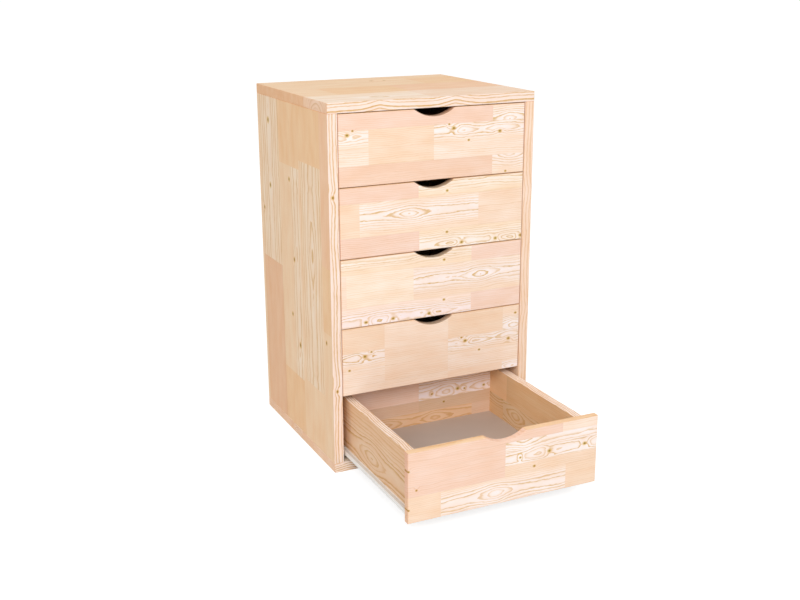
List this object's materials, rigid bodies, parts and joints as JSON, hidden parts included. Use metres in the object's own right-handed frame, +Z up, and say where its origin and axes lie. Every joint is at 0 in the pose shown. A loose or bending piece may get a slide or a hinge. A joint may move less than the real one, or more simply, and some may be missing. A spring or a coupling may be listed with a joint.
{
  "type": "drawer unit",
  "caption": "Narrow upright cabinet of pale solid pine board with a column of inset drawers, finger notches in their top edges, on roller runners.",
  "frame": {"origin": "middle of the cabinet's underside, on the floor", "axes": "+Z up; -Y towards the drawer fronts, the way the drawers open; +X to the right as seen from the front"},
  "size_m": [0.4, 0.632, 0.666],
  "materials": {
    "pine_board": "finger-jointed pine board, planed and sanded, left unpainted",
    "hardboard": "thin hardboard with a pale grey painted face",
    "beech_dowel": "fluted beech dowel, glued",
    "white_nylon": "moulded nylon",
    "zinc_plated_steel": "bright zinc plate",
    "white_painted_steel": "white powder coat over bent sheet steel"
  },
  "bodies": {
    "cabinet": {"back_panel": "hardboard", "bottom_board": "pine_board", "cabinet_roller_pins": "zinc_plated_steel", "cabinet_runners_1": "white_painted_steel", "cabinet_runners_2": "white_painted_steel", "cabinet_runners_3": "white_painted_steel", "cabinet_runners_4": "white_painted_steel", "cabinet_runners_5": "white_painted_steel", "carcass_dowels": "beech_dowel", "side_board_left": "pine_board", "side_board_right": "pine_board", "top_board": "pine_board"},
    "drawer_1": {"drawer_1_back": "pine_board", "drawer_1_bottom": "hardboard", "drawer_1_front": "pine_board", "drawer_1_roller_pins": "zinc_plated_steel", "drawer_1_runners": "white_painted_steel", "drawer_1_side_left": "pine_board", "drawer_1_side_right": "pine_board"},
    "front_rollers_1": {"cabinet_rollers_1": "white_nylon"},
    "rear_rollers_1": {"drawer_1_rollers": "white_nylon"},
    "drawer_2": {"drawer_2_back": "pine_board", "drawer_2_bottom": "hardboard", "drawer_2_front": "pine_board", "drawer_2_roller_pins": "zinc_plated_steel", "drawer_2_runners": "white_painted_steel", "drawer_2_side_left": "pine_board", "drawer_2_side_right": "pine_board"},
    "front_rollers_2": {"cabinet_rollers_2": "white_nylon"},
    "rear_rollers_2": {"drawer_2_rollers": "white_nylon"},
    "drawer_3": {"drawer_3_back": "pine_board", "drawer_3_bottom": "hardboard", "drawer_3_front": "pine_board", "drawer_3_roller_pins": "zinc_plated_steel", "drawer_3_runners": "white_painted_steel", "drawer_3_side_left": "pine_board", "drawer_3_side_right": "pine_board"},
    "front_rollers_3": {"cabinet_rollers_3": "white_nylon"},
    "rear_rollers_3": {"drawer_3_rollers": "white_nylon"},
    "drawer_4": {"drawer_4_back": "pine_board", "drawer_4_bottom": "hardboard", "drawer_4_front": "pine_board", "drawer_4_roller_pins": "zinc_plated_steel", "drawer_4_runners": "white_painted_steel", "drawer_4_side_left": "pine_board", "drawer_4_side_right": "pine_board"},
    "front_rollers_4": {"cabinet_rollers_4": "white_nylon"},
    "rear_rollers_4": {"drawer_4_rollers": "white_nylon"},
    "drawer_5": {"drawer_5_back": "pine_board", "drawer_5_bottom": "hardboard", "drawer_5_front": "pine_board", "drawer_5_roller_pins": "zinc_plated_steel", "drawer_5_runners": "white_painted_steel", "drawer_5_side_left": "pine_board", "drawer_5_side_right": "pine_board"},
    "front_rollers_5": {"cabinet_rollers_5": "white_nylon"},
    "rear_rollers_5": {"drawer_5_rollers": "white_nylon"}
  },
  "joints": [
    {"name": "drawer_1_slide", "type": "slide", "parent": "cabinet", "child": "drawer_1", "axis": [0, -1, 0], "range_m": [0, 0.266]},
    {"name": "front_rollers_1_turn", "type": "hinge", "parent": "cabinet", "child": "front_rollers_1", "pos_m": [0, -0.158, 0.5303], "axis": [1, 0, 0], "range_deg": [0, 1795]},
    {"name": "rear_rollers_1_turn", "type": "hinge", "parent": "drawer_1", "child": "rear_rollers_1", "pos_m": [0, 0.1455, 0.5315], "axis": [1, 0, 0], "range_deg": [0, 1795]},
    {"name": "drawer_2_slide", "type": "slide", "parent": "cabinet", "child": "drawer_2", "axis": [0, -1, 0], "range_m": [0, 0.266]},
    {"name": "front_rollers_2_turn", "type": "hinge", "parent": "cabinet", "child": "front_rollers_2", "pos_m": [0, -0.158, 0.4046], "axis": [1, 0, 0], "range_deg": [0, 1795]},
    {"name": "rear_rollers_2_turn", "type": "hinge", "parent": "drawer_2", "child": "rear_rollers_2", "pos_m": [0, 0.1455, 0.4058], "axis": [1, 0, 0], "range_deg": [0, 1795]},
    {"name": "drawer_3_slide", "type": "slide", "parent": "cabinet", "child": "drawer_3", "axis": [0, -1, 0], "range_m": [0, 0.266]},
    {"name": "front_rollers_3_turn", "type": "hinge", "parent": "cabinet", "child": "front_rollers_3", "pos_m": [0, -0.158, 0.2789], "axis": [1, 0, 0], "range_deg": [0, 1795]},
    {"name": "rear_rollers_3_turn", "type": "hinge", "parent": "drawer_3", "child": "rear_rollers_3", "pos_m": [0, 0.1455, 0.2801], "axis": [1, 0, 0], "range_deg": [0, 1795]},
    {"name": "drawer_4_slide", "type": "slide", "parent": "cabinet", "child": "drawer_4", "axis": [0, -1, 0], "range_m": [0, 0.266]},
    {"name": "front_rollers_4_turn", "type": "hinge", "parent": "cabinet", "child": "front_rollers_4", "pos_m": [0, -0.158, 0.1532], "axis": [1, 0, 0], "range_deg": [0, 1795]},
    {"name": "rear_rollers_4_turn", "type": "hinge", "parent": "drawer_4", "child": "rear_rollers_4", "pos_m": [0, 0.1455, 0.1544], "axis": [1, 0, 0], "range_deg": [0, 1795]},
    {"name": "drawer_5_slide", "type": "slide", "parent": "cabinet", "child": "drawer_5", "axis": [0, -1, 0], "range_m": [-0.266, 0]},
    {"name": "front_rollers_5_turn", "type": "hinge", "parent": "cabinet", "child": "front_rollers_5", "pos_m": [0, -0.158, 0.0275], "axis": [1, 0, 0], "range_deg": [-1795, 0]},
    {"name": "rear_rollers_5_turn", "type": "hinge", "parent": "drawer_5", "child": "rear_rollers_5", "pos_m": [0, -0.1205, 0.0287], "axis": [1, 0, 0], "range_deg": [-1795, 0]}
  ],
  "couplings": [
    {"joint": "front_rollers_1_turn", "follows": "drawer_1_slide", "rad_per_m": 117.65},
    {"joint": "rear_rollers_1_turn", "follows": "drawer_1_slide", "rad_per_m": 117.65},
    {"joint": "front_rollers_2_turn", "follows": "drawer_2_slide", "rad_per_m": 117.65},
    {"joint": "rear_rollers_2_turn", "follows": "drawer_2_slide", "rad_per_m": 117.65},
    {"joint": "front_rollers_3_turn", "follows": "drawer_3_slide", "rad_per_m": 117.65},
    {"joint": "rear_rollers_3_turn", "follows": "drawer_3_slide", "rad_per_m": 117.65},
    {"joint": "front_rollers_4_turn", "follows": "drawer_4_slide", "rad_per_m": 117.65},
    {"joint": "rear_rollers_4_turn", "follows": "drawer_4_slide", "rad_per_m": 117.65},
    {"joint": "front_rollers_5_turn", "follows": "drawer_5_slide", "rad_per_m": 117.65},
    {"joint": "rear_rollers_5_turn", "follows": "drawer_5_slide", "rad_per_m": 117.65}
  ]
}
